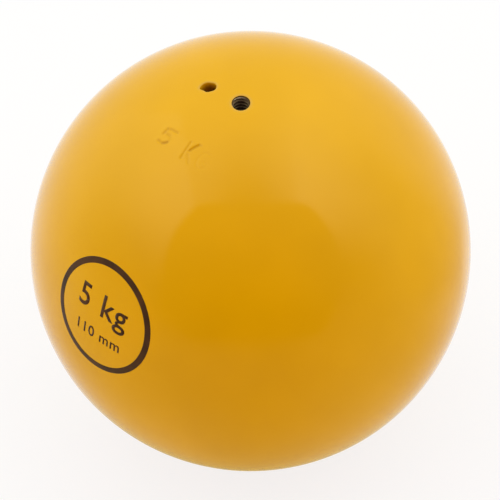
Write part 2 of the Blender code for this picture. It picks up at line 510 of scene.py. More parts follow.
@dataclass(frozen=True)
class StovedEnamel(Finish):
    """Stoved enamel, sprayed thick on cast iron.

    It gives the eye one deep even colour under a glassy skin, whose reflections waver a little
    because the casting under it isn't quite even and the spray dries to a faint orange peel. Its
    colour is deeper in the struck figures, where the enamel lies thicker and painted shade fills
    the grooves, and paler over the edges of the holes, where the enamel draws back and a painted
    highlight lies. The spray doesn't reach far into the holes, and the colour browns there, which
    is partly painted shade.
    """

    name: str = "stoved_enamel"
    shades: tuple[str, str] = ("#DEA500", "#E5AB01")
    patches: Pattern = Pattern(24.0)
    roughness: tuple[float, ...] = (0.07,)
    reliefs: tuple[Pattern, ...] = (Pattern(13.0, 0.05, detail=0.0), Pattern(2.4, 0.0035, detail=1.0))
    sockets: tuple[tuple[str, float | Triple], ...] = (("IOR", 1.5),)
    # Deeper colour in the struck strokes: thicker enamel there, and painted shade in the grooves.
    gathered_and_shade: str = "#B47A00"
    gathered_share: str = "gathered_share"
    # Paler colour at the holes' edges: the enamel draws back, and a painted highlight on the edge.
    thin_and_highlight: str = "#D8A83A"
    thin_share: str = "thin_share"
    # Brown deeper into the holes: the spray reaches less far, and painted shade.
    inside: str = "#98620E"
    spray_and_shade_reach: Pair = (53.0, 55.0)

    def skin(self, tree: Tree, share: Socket) -> Socket:
        """The even colour, deeper or paler by the skin's two attributes and brown in the holes, partly
        painted shade and highlight.

        Args:
            tree: The material's tree.
            share: How much of the second shade there is, from 0 to 1.

        Returns:
            The colour.
        """
        coat = super().skin(tree, share)
        # Deeper in the strokes, thicker enamel and painted shade; paler at the holes' edges, enamel drawn
        # back and a painted highlight.
        for name, shade in ((self.gathered_share, self.gathered_and_shade), (self.thin_share, self.thin_and_highlight)):
            own = add_node(tree, "Attribute", attribute_name=name).outputs["Fac"]
            coat = add_node(tree, "Mix", {0: own, COLOUR_A: coat, COLOUR_B: colour(shade)},
                            data_type="RGBA").outputs[COLOUR_OUT]
        # Brown deeper into the holes: less spray, and painted shade.
        return self.by_reach(tree, self.spray_and_shade_reach, colour(self.inside), coat)


@dataclass(frozen=True)
class CutIron(Finish):
    """Grey cast iron where the drill and the tap have cut it, oiled and a little browned by air.

    It gives the eye a brown line at the enamel's edge, burnt-on enamel and painted shade, a first
    crest that is bright on one side, worn and partly a painted highlight, and then dull crests a
    little lighter than the flanks, worn and partly a painted highlight, in a dark hole, with fine
    torn grain.
    """

    name: str = "cut_iron"
    shades: tuple[str, str] = ("#56443A", "#7E6454")
    patches: Pattern = Pattern(0.35, detail=3.0)
    roughness: tuple[float, ...] = (0.55, 0.38)
    reliefs: tuple[Pattern, ...] = (Pattern(0.35, 0.012, detail=3.0),)
    sockets: tuple[tuple[str, float | Triple], ...] = (("Metallic", 0.75),)
    # Crests lighter than the flanks: worn, and a painted highlight on the thread.
    crests: tuple[str, str] = ("#8A7464", "#AC9482")
    # A bright spot on one side of the first crest: worn, and a painted highlight.
    rubbed_and_highlight: tuple[str, str] = ("#DCBCA4", "#FFEADA")
    # A brown line at the enamel's edge: burnt-on enamel, and painted shade.
    baked_and_shade: tuple[str, str] = ("#4A3510", "#6A4C18")
    crest_reach: Pair = (1.93, 2.05)
    rubbed_highlight_spot: Triple = (-1.1, 1.9, 54.5)
    rubbed_highlight_reach: Pair = (0.5, 2.5)
    rim_reach: Pair = (54.36, 54.44)
    baked_and_shade_reach: Pair = (54.62, 54.74)

    def skin(self, tree: Tree, share: Socket) -> Socket:
        """Flanks and lighter crests, the rim's bright spot, the edge's brown line: painted highlight and
        shade in part.

        Args:
            tree: The material's tree.
            share: How much of the second shade there is, from 0 to 1.

        Returns:
            The colour.
        """
        flanks, crests, rubbed_and_highlight, baked_and_shade = (
            add_node(tree, "Mix", {0: share, COLOUR_A: colour(dark), COLOUR_B: colour(light)},
                     data_type="RGBA").outputs[COLOUR_OUT]
            for dark, light in (self.shades, self.crests, self.rubbed_and_highlight, self.baked_and_shade))
        # Crests lighter than the flanks, partly a painted highlight.
        metal = self.by_reach(tree, self.crest_reach, crests, flanks, axes=(1, 1, 0))
        # The rim's bright spot on one side, partly a painted highlight.
        rim = self.by_reach(tree, self.rubbed_highlight_reach, rubbed_and_highlight, flanks, self.rubbed_highlight_spot)
        metal = self.by_reach(tree, self.rim_reach, metal, rim)
        # The brown line at the enamel's edge, partly painted shade.
        return self.by_reach(tree, self.baked_and_shade_reach, metal, baked_and_shade)


@dataclass(frozen=True)
class PadPrintInk(Finish):
    """Two-part ink, pad-printed on the enamel in one thin film.

    It gives the eye a brown-black with less gloss than the enamel, a shade thinner in places.
    """

    name: str = "pad_print_ink"
    shades: tuple[str, str] = ("#3A200A", "#54300E")
    patches: Pattern = Pattern(4.0)
    roughness: tuple[float, ...] = (0.32,)
    reliefs: tuple[Pattern, ...] = (Pattern(0.4, 0.003),)
    sockets: tuple[tuple[str, float | Triple], ...] = (("IOR", 1.5), ("Specular IOR Level", 0.4))


@dataclass(frozen=True)
class DrawnLead(Finish):
    """Lead rod, cut to length, with the grey bloom that lead gets within weeks.

    It gives the eye a soft blue-grey with no clear reflection, and dents from handling.
    """

    name: str = "drawn_lead"
    shades: tuple[str, str] = ("#5E6165", "#84888C")
    patches: Pattern = Pattern(1.6, detail=4.0)
    roughness: tuple[float, ...] = (0.5, 0.72)
    reliefs: tuple[Pattern, ...] = (Pattern(1.1, 0.03),)
    sockets: tuple[tuple[str, float | Triple], ...] = (("Metallic", 0.85),)


@dataclass(frozen=True)
class TurnedNylon(Finish):
    """Natural nylon 66, turned from bar.

    It gives the eye a waxy off-white that lets a little light in, with fine lathe marks.
    """

    name: str = "turned_nylon"
    shades: tuple[str, str] = ("#D8D2C0", "#E6E1D2")
    patches: Pattern = Pattern(1.5)
    roughness: tuple[float, ...] = (0.42,)
    reliefs: tuple[Pattern, ...] = (Pattern(0.12, 0.004, layout=Layout.RINGS),)
    sockets: tuple[tuple[str, float | Triple], ...] = (
        ("IOR", 1.53), ("Subsurface Weight", 0.25), ("Subsurface Radius", (0.001, 0.0008, 0.0006)),
        ("Subsurface Scale", 1.0))


@dataclass(frozen=True)
class BlackOxideSteel(Finish):
    """Hardened alloy steel with a black oxide and oil finish, as socket screws have.

    It gives the eye a near black with a soft metal sheen, worn browner and brighter in patches.
    """

    name: str = "black_oxide_steel"
    shades: tuple[str, str] = ("#1B1A1B", "#3A3734")
    patches: Pattern = Pattern(0.9, detail=4.0)
    roughness: tuple[float, ...] = (0.5, 0.3)
    reliefs: tuple[Pattern, ...] = (Pattern(0.12, 0.003),)
    sockets: tuple[tuple[str, float | Triple], ...] = (("Metallic", 0.9),)


@dataclass(frozen=True)
class Thread:
    """The thread that the bore and the screw share, 3/16 in across with 24 turns to the inch.

    It is right-handed: the middle of its groove climbs one pitch for each turn of azimuth. In
    the methods an azimuth is in radians, and a height is in millimetres above the ball's centre.
    """

    base_height: float
    major_radius: float = 3 / 32 * INCH
    crest_radius: float = 1.9
    pitch: float = INCH / 24
    flank_angle: float = math.radians(27.5)
    root_width: float = 0.26
    clearance: float = 0.10
    start_azimuth: float = math.radians(139)

    def from_groove(self, azimuth: Array, height: Array) -> Array:
        """Distance along the axis to the middle of the nearest turn of the groove.

        Args:
            azimuth: Azimuths of the places.
            height: Their heights.

        Returns:
            The distances.
        """
        turns = (height - self.base_height) / self.pitch
        turns = turns - (azimuth - self.start_azimuth) / math.tau
        return np.abs(turns - np.round(turns)) * self.pitch

    def groove_depth(self, azimuth: Array, height: Array) -> Array:
        """Depth of the bore's groove under the crests: flat at the root, then one slope to 0.

        Args:
            azimuth: Azimuths of the places.
            height: Their heights.

        Returns:
            The depths.
        """
        beyond_root = np.maximum(self.from_groove(azimuth, height) - self.root_width / 2, 0)
        full = self.major_radius - self.crest_radius
        return np.maximum(full - beyond_root / math.tan(self.flank_angle), 0)

    def ridge_radius(self, azimuth: Array, height: Array) -> Array:
        """Radius of the screw, whose ridge lies in the groove with the clearance on all sides.

        Args:
            azimuth: Azimuths of the places.
            height: Their heights.

        Returns:
            The radii.
        """
        inset = self.clearance / math.cos(self.flank_angle)
        away = self.from_groove(azimuth, height) + inset - self.root_width / 2
        flank = self.major_radius - away / math.tan(self.flank_angle)
        return np.clip(flank, self.crest_radius - self.clearance, self.major_radius - self.clearance)


@dataclass(frozen=True)
class Lip:
    """The rounded edge of a hole, a quarter ellipse from the hole's wall to the ball's surface."""

    depth: float
    rings: int = 10

    def profile(self, mouth: Array, outer: Array | float, ball_radius: float) -> tuple[Array, Array]:
        """Radius and height about the hole's axis, one ring a row, from the wall outwards.

        The radius is mouth + (outer - mouth) (1 - cos a) and the height lies depth (1 - sin a)
        under the sphere, as a goes from 0 to a right angle.

        Args:
            mouth: Radius of the hole's mouth at each bearing.
            outer: Radius at which the edge meets the ball's surface.
            ball_radius: Radius of the ball.

        Returns:
            The radii and the heights.
        """
        a = np.linspace(0, math.pi / 2, self.rings)[:, None]
        radius = mouth + (outer - mouth) * (1 - np.cos(a))
        return radius, np.sqrt(ball_radius ** 2 - radius ** 2) - self.depth * (1 - np.sin(a))


@dataclass(frozen=True)
class TappedBore:
    """The bore on +Z: drilled, countersunk and tapped, bare from the lip of the enamel inwards."""

    ball_radius: float
    thread: Thread
    depth: float = 33.5
    tapped_depth: float = 15.5
    run_out: float = 0.3
    columns: int = 96
    mouth_radius: float = 2.26
    mouth_stretch: float = 0.085
    mouth_shift: float = 0.17
    lip_radius: float = 3.0
    lip: Lip = Lip(depth=0.13)
    countersink: float = 0.47
    fine_depth: float = 7.5
    fine_steps: int = 16
    coarse_steps: int = 8
    plain_rings: int = 6

    @property
    def azimuth(self) -> Array:
        """Azimuths of the bore's columns."""
        return np.arange(self.columns) * math.tau / self.columns

    def mouth(self, azimuth: Array) -> Array:
        """Radius of the mouth: an oval, r - s cos 2 azimuth, that lies a little to +Y."""
        oval = self.mouth_radius - self.mouth_stretch * np.cos(2 * azimuth)
        return oval + self.mouth_shift * np.sin(azimuth)

    def outside(self, points: Array) -> Array:
        """How far points on the ball lie outside the mouth, in millimetres from +Z."""
        azimuth = np.arctan2(points[..., 1], points[..., 0])
        return np.hypot(points[..., 0], points[..., 1]) - self.mouth(azimuth)

    def wall(self, top: Array) -> Array:
        """Rings of the bore's wall, from the bottom up to the lip.

        The radius is the crest's plus the groove's depth, or the countersink's where that is
        wider, a cone from the mouth to the crests. At the bottom of the tapped length the groove
        runs out. The depths shrink to the room that each column has under the lip, so that the
        bottom ring is level.

        Args:
            top: Height of the lip's lower edge at each column.

        Returns:
            Points, one ring a row.
        """
        pitch, base = self.thread.pitch, self.thread.base_height
        fine = np.arange(pitch / self.fine_steps, self.fine_depth, pitch / self.fine_steps)
        coarse = np.arange(self.fine_depth, self.tapped_depth + pitch, pitch / self.coarse_steps)
        plain = np.linspace(self.tapped_depth + 2 * pitch, self.depth, self.plain_rings)
        depth = np.concatenate([fine, coarse, plain])[::-1, None]
        height = top - depth * (self.depth - (self.ball_radius - top)) / self.depth
        groove = self.thread.groove_depth(self.azimuth, height)
        groove = groove * smooth_step(height, base - self.run_out, base + self.run_out)
        radius = self.thread.crest_radius + groove
        mouth = self.mouth(self.azimuth)
        cone = mouth - (mouth - self.thread.crest_radius) * depth / self.countersink
        return turned(np.maximum(radius, cone), self.azimuth, height)

    def add_to(self, skin: Skin) -> Array:
        """Adds the point of the drill, the wall and the lip.

        Args:
            skin: The ball's skin.

        Returns:
            Point numbers of the lip's outer ring.
        """
        lip_radius, lip_height = self.lip.profile(
            self.mouth(self.azimuth), self.lip_radius, self.ball_radius)
        wall = self.wall(lip_height[0])
        rings = skin.add(np.concatenate([wall, turned(lip_radius, self.azimuth, lip_height)]))
        tip = wall[0, 0, 2] - self.thread.crest_radius / math.tan(DRILL_POINT_ANGLE / 2)
        skin.close(rings[0], (0, 0, tip), Coat.BARE_IRON, is_start=True)
        skin.join(rings[:len(wall) + 1], Coat.BARE_IRON)
        skin.join(rings[len(wall):], Coat.ENAMEL)
        return rings[-1]


@dataclass(frozen=True)
class TrimHole:
    """The plain blind hole beside the bore, drilled before the enamel ran into it.

    It is let into the ball's grid as a round patch: a square block of cells is left out, and the
    cells around it are drawn in to the hole's rim. A wave of the mouth is its count of crests, its
    height and the bearing of its first crest. The waves come from a Fourier analysis of the
    outline that was read off the photograph, and adjusted.
    """

    ball_radius: float
    place: Place = Place(math.radians(10.4), math.radians(138.2), math.radians(129.5))
    depth: float = 12.0
    wall_radius: float = 1.78
    cell: float = 0.236
    block: int = 9
    reach: int = 15
    lip: Lip = Lip(depth=0.34)
    lip_width: float = 0.45
    mouth_radius: float = 1.74
    waves: tuple[tuple[int, float, float], ...] = (
        (1, 0.24, math.radians(90)), (2, 0.19, math.radians(-24)), (3, 0.07, math.radians(33)),
        (4, 0.05, math.radians(-15)), (5, 0.055, math.radians(32)))
    tip_bearing: float = math.radians(181)
    tip_width: float = math.radians(12)
    tip_length: float = 0.12
    fill: float = 1.3
    fine_step: float = 0.15
    fine_depth: float = 4.0
    coarse_step: float = 1.0

    def mouth(self, bearing: Array) -> Array:
        """Radius of the mouth by bearing: a circle with a few waves and one drawn-out tip.

        Args:
            bearing: Bearings in the axes of the hole's place, in radians.

        Returns:
            r + sum of h cos(n (bearing - start)) + the tip's bell curve.
        """
        radius = self.mouth_radius + sum(
            height * np.cos(count * (bearing - start)) for count, height, start in self.waves)
        off = (bearing - self.tip_bearing + math.pi) % math.tau - math.pi
        return radius + self.tip_length * bell(off, self.tip_width)

    def outside(self, points: Array) -> Array:
        """How far points on the ball lie outside the mouth, in millimetres on the surface."""
        x, y = np.moveaxis(self.place.flatten(points, self.ball_radius), -1, 0)
        return np.hypot(x, y) - self.mouth(np.arctan2(y, x))

    def bearing_of(self, east: Array, north: Array) -> Array:
        """Bearing at which a square's cell belongs on a circle, 45 degrees for each half side.

        On the east and west sides it grows as north / east, and on the others it falls as
        east / north.

        Args:
            east: Cells east of the middle.
            north: Cells north of it.

        Returns:
            The bearings in the axes of the hole's place, in radians.
        """
        upright = np.abs(east) >= np.abs(north)
        eighth = math.pi / 4
        with np.errstate(divide="ignore", invalid="ignore"):
            bearing = np.where(upright, eighth * north / east, 2 * eighth - eighth * east / north)
        return bearing + math.pi * (np.where(upright, east, north) < 0) - self.place.turn

    def make_room(self, points: Array, row: int, column: int) -> Array:
        """Draws the cells around the hole in to its rim.

        Each ring of cells, m cells from the middle, belongs on a closed line rim + (m - block)
        cells around the hole. Outside the block that line fades into the grid's own square.

        Args:
            points: The ball's grid of points.
            row: The row that runs through the hole's middle.
            column: The column that runs through it.

        Returns:
            The moved grid.
        """
        rows, columns = np.mgrid[-self.reach:self.reach + 1, -self.reach:self.reach + 1]
        away = np.maximum(np.abs(rows), np.abs(columns))
        bearing = self.bearing_of(columns.astype(float), -rows.astype(float))
        distance = self.mouth(bearing) + self.lip_width + (away - self.block) * self.cell
        flat = distance[..., None] * np.stack([np.cos(bearing), np.sin(bearing)], -1)
        round_patch = self.place.wrap(flat, self.ball_radius, self.ball_radius)
        share = smooth_step(away, self.reach, self.block)[..., None]
        window = (slice(row - self.reach, row + self.reach + 1),
                  slice(column - self.reach, column + self.reach + 1))
        moved = share * round_patch + (1 - share) * points[window]
        moved *= self.ball_radius / np.linalg.norm(moved, axis=-1, keepdims=True)
        result = points.copy()
        result[window] = np.where((away >= self.block)[..., None], moved, points[window])
        return result

    def rim_of(self, numbers: Array, row: int, column: int) -> tuple[Array, Array]:
        """The edge of the block that is left out, counter-clockwise from outside.

        Args:
            numbers: Point numbers of the ball's grid.
            row: The row that runs through the hole's middle.
            column: The column that runs through it.

        Returns:
            The rim's point numbers and their bearings.
        """
        side = np.arange(-self.block, self.block)
        full = np.full_like(side, self.block)
        east = np.concatenate([full, -side, -full, side])
        north = np.concatenate([side, full, -side, -full])
        return numbers[row - north, column + east], self.bearing_of(
            east.astype(float), north.astype(float))

    def add_to(self, skin: Skin, rim: Array, bearing: Array) -> None:
        """Adds the lip, the wall and the point of the drill inside a rim.

        Under the lip the wall narrows or widens from the mouth to the drilled radius, and the
        difference dies away as exp(-depth / fill).

        Args:
            skin: The skin that the rim belongs to.
            rim: Point numbers of the rim.
            bearing: Their bearings in the axes of the hole's place.
        """
        mouth = self.mouth(bearing)
        radius, height = self.lip.profile(mouth, mouth + self.lip_width, self.ball_radius)
        fine = np.arange(self.fine_step, self.fine_depth, self.fine_step)
        coarse = np.arange(self.fine_depth + self.coarse_step / 2, self.depth, self.coarse_step)
        depth = np.concatenate([fine, coarse])[::-1, None]
        wall_radius = self.wall_radius + (mouth - self.wall_radius) * np.exp(-depth / self.fill)
        wall = self.place.around(wall_radius, bearing, height[0] - depth)
        inner = np.concatenate([wall, self.place.around(radius[:-1], bearing, height[:-1])])
        rings = np.concatenate([skin.add(inner), rim[None]])
        shoulder = float(np.mean(height[0])) - depth[0, 0]
        tip = self.place.axes[2] * (shoulder - self.wall_radius / math.tan(DRILL_POINT_ANGLE / 2))
        skin.close(rings[0], tip, Coat.ENAMEL, is_start=True)
        skin.join(rings, Coat.ENAMEL)


@dataclass(frozen=True)
class Stroke:
    """A stroke of a punch: its line, how hard it bit, and its deeper colour, thicker enamel and painted
    shade.
    """

    line: tuple[Pair, ...] | Array
    force: float
    pool: float


@dataclass(frozen=True)
class Punch:
    """One struck character, with its strokes drawn on a square of its height."""

    strokes: tuple[Stroke, ...]
    foot: Pair
    height: float
    lean: float

    def placed(self) -> list[Stroke]:
        """Scales the strokes, leans them over and moves them to the foot.

        Returns:
            The strokes in millimetres of the stamp.
        """
        c, s = math.cos(self.lean), math.sin(self.lean)
        turn = np.array([[c, s], [-s, c]])
        return [Stroke(np.array(stroke.line) * self.height @ turn + self.foot, stroke.force, stroke.pool)
                for stroke in self.strokes]


# A stroke's last number is how much deeper its colour is: thicker enamel, and painted shade.
FIVE = (Stroke(((0.12, 0.985), (0.67, 1.04)), 0.95, 0.22),
        Stroke(((-0.02, 0.93), (-0.035, 0.57)), 0.9, 0.30),
        Stroke(((0.22, 0.64), (0.40, 0.64)), 0.6, 0.24),
        Stroke(((0.40, 0.64), (0.53, 0.56), (0.63, 0.425), (0.64, 0.30)), 0.5, 0.12),
        Stroke(((0.59, 0.25), (0.485, 0.13), (0.365, 0.05)), 1.2, 0.58),
        Stroke(((0.365, 0.05), (0.195, 0.02), (0.01, 0.06)), 0.9, 0.20))
LETTER_K = (Stroke(((0.0, 0.98), (0.0, 0.01)), 0.8, 0.12),
            Stroke(((0.21, 0.55), (0.30, 0.73), (0.385, 0.88), (0.49, 1.02)), 1.25, 0.35),
            Stroke(((0.49, 1.02), (0.57, 1.05)), 0.7, 0.25),
            Stroke(((0.21, 0.33), (0.53, -0.08)), 0.35, 0.14))
LETTER_G = (Stroke(arc((0.36, 0.5), (0.34, 0.5), 50, 320), 0.3, 0.0),
            Stroke(((0.40, 0.44), (0.68, 0.44), (0.66, 0.14)), 0.25, 0.0))


@dataclass(frozen=True)
class WeightStamp:
    """The ball's class, struck into the iron beside the bore and softened by the enamel over it.

    Each punch was held a little differently, and the last one hardly bit.
    """

    ball_radius: float
    place: Place = Place(math.radians(18.52), math.radians(-149.30), math.radians(12.4))
    punches: tuple[Punch, ...] = (Punch(FIVE, (-5.40, -2.15), 4.1, math.radians(-2)),
                                  Punch(LETTER_K, (2.85, -2.50), 4.5, math.radians(8.3)),
                                  Punch(LETTER_G, (6.55, -2.2), 4.2, math.radians(4)))
    reach: float = 11.0
    stroke: float = 0.32
    depth: float = 0.17
    shoulder: float = 0.02
    # Width of the strokes' deeper colour: thicker enamel, and painted shade.
    pool_and_shade_width: float = 0.42

    def over_strokes(self, points: Array, share: Callable[[Stroke, Array], Array]) -> Array:
        """The largest share that a stroke gives each point, by the distance to the stroke.

        Args:
            points: Points on the ball.
            share: Gives the share from a stroke and the distances to it.

        Returns:
            The shares, 0 away from the stamp.
        """
        flat = self.place.flatten(points, self.ball_radius)
        near = (points @ self.place.axes[2] > 0) & (np.abs(flat).max(-1) < self.reach)
        result = np.zeros(points.shape[:-1])
        for stroke in (stroke for punch in self.punches for stroke in punch.placed()):
            start, run = stroke.line[:-1], np.diff(stroke.line, axis=0)
            off = flat[near][:, None] - start
            along = np.clip((off * run).sum(-1) / (run * run).sum(-1), 0, 1)
            gap = np.linalg.norm(off - along[..., None] * run, axis=-1).min(-1)
            result[near] = np.maximum(result[near], share(stroke, gap))
        return result

    def sink(self, points: Array) -> Array:
        """How far each point of the ball's surface moves inwards.

        A stroke is depth exp(-(d / stroke)^2) at a distance d, with a low shoulder of pushed-up
        iron at twice that distance. Where strokes meet, the deeper one counts.

        Args:
            points: Points on the ball.

        Returns:
            Millimetres inwards.
        """
        groove = self.over_strokes(
            points, lambda stroke, gap: stroke.force * bell(gap, self.stroke))
        raised = self.over_strokes(
            points, lambda stroke, gap: stroke.force * bell(gap - 2 * self.stroke, self.stroke))
        return self.depth * groove - self.shoulder * raised * (1 - groove)

    def pooled_and_shaded(self, points: Array) -> Array:
        """How much deeper the colour is at each point, pool exp(-(d / pool width)^2): thicker enamel and
        painted shade.
        """
        return self.over_strokes(
            points, lambda stroke, gap: stroke.pool * bell(gap, self.pool_and_shade_width))


@dataclass
class Ball:
    """The ball's whole skin: bore, trim hole, stamp and sphere in one closed mesh.

    The grid's cells grow by a share of their distance from where they are fine, and the inner rows
    lie between the bore and the trim hole's middle. The casting's unevenness calms down around the
    holes, by tilt from the bore's lip and by millimetres from the trim hole's middle.
    """

    radius: float
    thread: Thread
    enamel: StovedEnamel = StovedEnamel()
    iron: CutIron = CutIron()
    stamp_cell: float = 0.12
    coarse_row: float = 2.0
    coarse_column: float = math.radians(2.6)
    growth: float = 0.12
    inner_rows: int = 29
    stamp_reach: float = math.radians(25)
    stamp_foot: float = math.radians(23.8)
    sway: float = 0.012
    sway_length: float = 17.0
    sway_ways: tuple[Triple, ...] = ((0.8, 0.0, 0.5), (-0.4, 0.9, 0.0), (0.0, 0.6, 0.7))
    sway_starts: Triple = (0.0, 1.0, 2.0)
    calm_tilt: float = math.radians(3)
    calm_trim: Pair = (3.0, 6.0)
    # Width and depth of the paler colour at the holes' edges: enamel drawn back, and a painted highlight.
    thin_and_highlight_width: float = 0.5
    thin_and_highlight_depth: float = 0.3

    def columns(self, trim: TrimHole, stamp: WeightStamp) -> Array:
        """Azimuths of the grid's columns: even cells past the trim hole, dense past the stamp.

        Args:
            trim: The plain hole.
            stamp: The struck figures.

        Returns:
            The azimuths, once round.
        """
        cell = trim.cell / (self.radius * math.sin(trim.place.tilt))
        even = trim.place.azimuth + np.arange(-trim.reach - 1, trim.reach + 1) * cell
        fine = self.stamp_cell / (self.radius * math.sin(stamp.place.tilt))
        middle = stamp.place.azimuth + math.tau

        def spacing(azimuth: Array) -> Array:
            """The fine cell at the stamp, and steadily more away from it and from the hole.

            Args:
                azimuth: Where to work it out.

            Returns:
                The cell's width there, in radians.
            """
            off = np.maximum(np.abs(azimuth - middle) - self.stamp_reach, 0)
            past = np.minimum(azimuth - even[-1], even[0] + math.tau - azimuth)
            cells = np.minimum(fine + self.growth * off, cell + self.growth * past)
            return np.minimum(self.coarse_column, cells)

        return np.concatenate([even, graded(even[-1] + cell, even[0] + math.tau, spacing)[:-1]])

    def rows(self, trim: TrimHole) -> Array:
        """Tilts of the grid's rows: even cells past the trim hole, dense at the stamp, then coarser.

        Args:
            trim: The plain hole.

        Returns:
            The tilts, from the bore down to the last row above the bottom.
        """
        cell = trim.cell / self.radius
        even = trim.place.tilt + np.arange(-self.inner_rows, trim.reach + 1) * cell
        fine = self.stamp_cell / self.radius

        def spacing(tilt: Array) -> Array:
            """The fine cell down to the stamp's lower edge, and from there steadily more."""
            past = np.maximum(tilt - self.stamp_foot, 0)
            return np.minimum(self.coarse_row / self.radius, fine + self.growth * past)

        return np.concatenate([even, graded(even[-1], math.pi, spacing)[1:-1]])

    def uneven(self, points: Array, tilt: Array, trim: TrimHole) -> Array:
        """How far the casting lies under the full radius: sway x (1 + the mean of three slow sines).

        Each sine runs through the ball along its own way, where one turn takes the sway length
        over the way's length. It all dies away towards the two holes, whose lips lie on the full
        radius.

        Args:
            points: The ball's grid of points.
            tilt: The tilts of its rows.
            trim: The plain hole.

        Returns:
            Millimetres inwards.
        """
        phase = points * math.tau / self.sway_length @ np.transpose(self.sway_ways)
        waves = np.sin(phase + self.sway_starts).sum(-1)
        from_trim = np.linalg.norm(trim.place.flatten(points, self.radius), axis=-1)
        away = smooth_step(tilt, tilt[0], tilt[0] + self.calm_tilt)[:, None]
        return self.sway * (1 + waves / 3) * away * smooth_step(from_trim, *self.calm_trim)

    def shares(self, mesh: bpy.types.Mesh, bore: TappedBore, trim: TrimHole, stamp: WeightStamp) -> None:
        """Writes on the skin where the colour is deeper and where it is paler: partly painted shade and
        highlight.

        It is paler by exp(-(d / width)^2) at a distance d outside the nearer hole's mouth, and down
        to a small depth under the ball's surface: the enamel draws back there, and a painted highlight
        lies on the edge.

        Args:
            mesh: The skin's mesh.
            bore: The tapped bore.
            trim: The plain hole.
            stamp: The struck figures.
        """
        points = points_of(mesh) / MM
        away = np.minimum(np.abs(bore.outside(points)), np.abs(trim.outside(points)))
        depth = self.radius - np.linalg.norm(points, axis=1)
        rim = smooth_step(depth, self.thin_and_highlight_depth, self.thin_and_highlight_depth / 3) * (points[:, 2] > 0)
        # Deeper colour in the strokes, thicker enamel and painted shade; paler colour at the holes'
        # edges, enamel drawn back and a painted highlight.
        for name, share in ((self.enamel.gathered_share, stamp.pooled_and_shaded(points)),
                            (self.enamel.thin_share, rim * bell(away, self.thin_and_highlight_width))):
            attribute = mesh.attributes.new(name, "FLOAT", "POINT")
            attribute.data.foreach_set("value", share.astype(np.float32))

    def build(self) -> list[bpy.types.Object]:
        """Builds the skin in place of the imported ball, and has it ride on the ball's body.

        The sphere is a grid over tilt and azimuth, at the ball's radius less the unevenness and
        the stamp's depth there, with room made in it for the trim hole.

        Returns:
            The skin.
        """
        bore = TappedBore(self.radius, self.thread)
        trim = TrimHole(self.radius)
        stamp = WeightStamp(self.radius)
        azimuth, tilt = self.columns(trim, stamp), self.rows(trim)
        row = int(np.argmin(np.abs(tilt - trim.place.tilt)))
        column = trim.reach + 1
        points = on_sphere(self.radius, tilt[:, None], azimuth[None])
        points = trim.make_room(points, row, column)
        depth = self.uneven(points, tilt, trim) + stamp.sink(points)
        points *= (1 - depth / self.radius)[..., None]

        skin = Skin()
        lip = bore.add_to(skin)
        numbers = skin.add(points)
        skin.zip_rings(lip, bore.azimuth, numbers[0], azimuth)
        left_out = np.zeros((len(tilt) - 1, len(azimuth)), bool)
        left_out[row - trim.block:row + trim.block, column - trim.block:column + trim.block] = True
        skin.join(numbers, Coat.ENAMEL, left_out)
        skin.close(numbers[-1], (0, 0, -self.radius), Coat.ENAMEL)
        trim.add_to(skin, *trim.rim_of(numbers, row, column))

        made = skin.make("ball_skin", [self.enamel.material(), self.iron.material()])
        self.shares(made.data, bore, trim, stamp)
        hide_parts("ball_body")
        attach(made, Body.BALL.value)
        return [made]


@dataclass(frozen=True)
class PrintedLine:
    """One line of the printed mark, with the height of its figures and of its foot."""

    name: str
    text: str
    height: float
    foot: float


